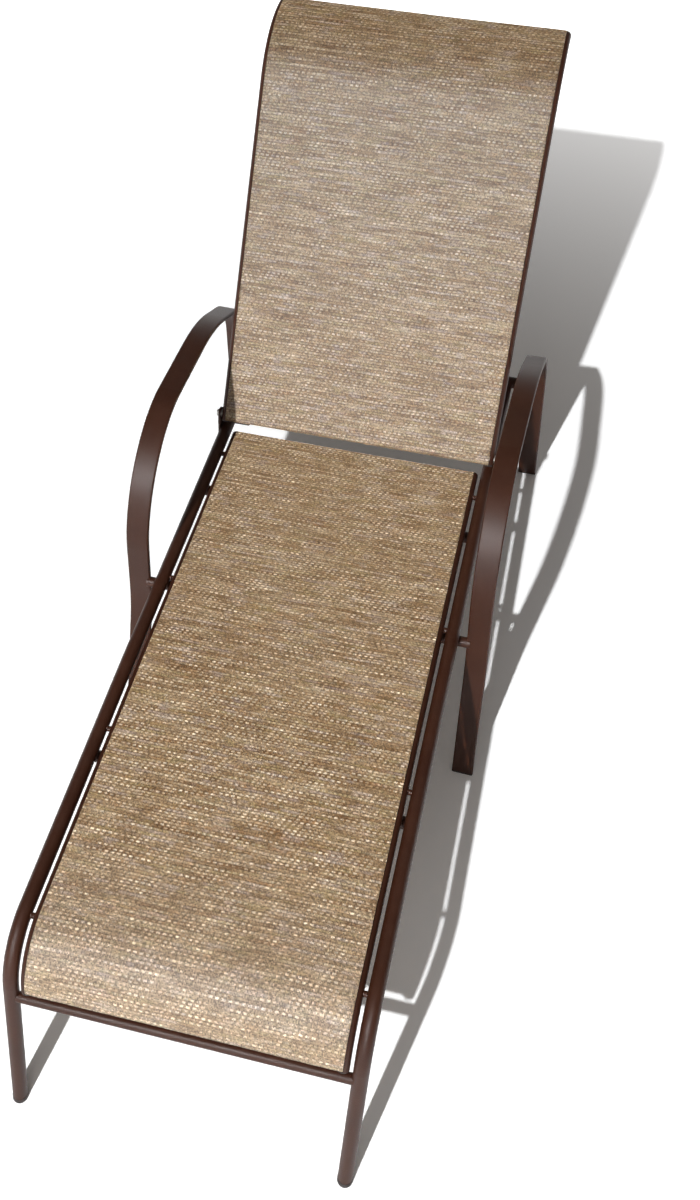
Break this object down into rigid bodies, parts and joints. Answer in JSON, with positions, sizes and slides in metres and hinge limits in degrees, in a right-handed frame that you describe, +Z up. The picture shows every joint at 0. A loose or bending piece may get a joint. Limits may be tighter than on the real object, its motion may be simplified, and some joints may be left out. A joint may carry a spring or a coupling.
{
  "type": "sling chaise lounge",
  "caption": "Reclining outdoor chaise lounge: bent tube frame, flat bar arms that run down to the floor, taut mesh slings and a prop stay in notched racks.",
  "frame": {"origin": "on the floor, at the middle of the chaise's width and length, back at its rest angle", "axes": "+X across the seat, to the right seen from the foot end; +Y from the foot end to the head end; +Z up"},
  "size_m": [0.7552, 1.8325, 1.0254],
  "materials": {
    "frame_paint": "dark brown powder coat, satin, fine texture",
    "sling_mesh": "tan and beige vinyl-coated mesh, slubby cross weave",
    "plug_plastic": "dark brown moulded plastic",
    "hardware_steel": "plain stainless steel"
  },
  "bodies": {
    "frame": {"arm_left": "frame_paint", "arm_right": "frame_paint", "arm_stretcher": "frame_paint", "foot_plug_left": "plug_plastic", "foot_plug_right": "plug_plastic", "front_arm_glide_left": "plug_plastic", "front_arm_glide_right": "plug_plastic", "front_crossbar": "frame_paint", "hinge_ear_left": "frame_paint", "hinge_ear_right": "frame_paint", "middle_brace": "frame_paint", "pivot_bolt_left": "hardware_steel", "pivot_bolt_right": "hardware_steel", "pivot_nut_left": "hardware_steel", "pivot_nut_right": "hardware_steel", "pivot_washer_left": "hardware_steel", "pivot_washer_right": "hardware_steel", "rail_screws": "hardware_steel", "rail_standoffs": "frame_paint", "ratchet_rack_left": "frame_paint", "ratchet_rack_right": "frame_paint", "rear_arm_glide_left": "plug_plastic", "rear_arm_glide_right": "plug_plastic", "rear_brace": "frame_paint", "rear_crossbar": "frame_paint", "seat_hem_rod_left": "plug_plastic", "seat_hem_rod_right": "plug_plastic", "seat_rail_front_cap_left": "plug_plastic", "seat_rail_front_cap_right": "plug_plastic", "seat_rail_rear_cap_left": "plug_plastic", "seat_rail_rear_cap_right": "plug_plastic", "seat_sling": "sling_mesh", "seat_sling_rail_left": "frame_paint", "seat_sling_rail_right": "frame_paint", "side_rail_left": "frame_paint", "side_rail_right": "frame_paint"},
    "backrest": {"back_hem_rod_left": "plug_plastic", "back_hem_rod_right": "plug_plastic", "back_rail_low_cap_left": "plug_plastic", "back_rail_low_cap_right": "plug_plastic", "back_rail_top_cap_left": "plug_plastic", "back_rail_top_cap_right": "plug_plastic", "back_sling": "sling_mesh", "back_sling_rail_left": "frame_paint", "back_sling_rail_right": "frame_paint", "lower_back_crossbar": "frame_paint", "prop_bush_left": "plug_plastic", "prop_bush_right": "plug_plastic", "prop_pin_left": "hardware_steel", "prop_pin_right": "hardware_steel", "upper_back_crossbar": "frame_paint"},
    "prop_stay": {"prop_arm_left": "frame_paint", "prop_arm_right": "frame_paint", "prop_rod": "frame_paint"}
  },
  "joints": [
    {"name": "back_recline", "type": "hinge", "parent": "frame", "child": "backrest", "pos_m": [0, 0.40844, 0.372], "axis": [1, 0, 0], "range_deg": [-58, 12]},
    {"name": "prop_fold", "type": "hinge", "parent": "backrest", "child": "prop_stay", "pos_m": [0, 0.50383, 0.52465], "axis": [1, 0, 0], "range_deg": [-24, 115]}
  ],
  "couplings": [
    {"joint": "prop_fold", "follows": "back_recline", "ratio": -1.97}
  ]
}
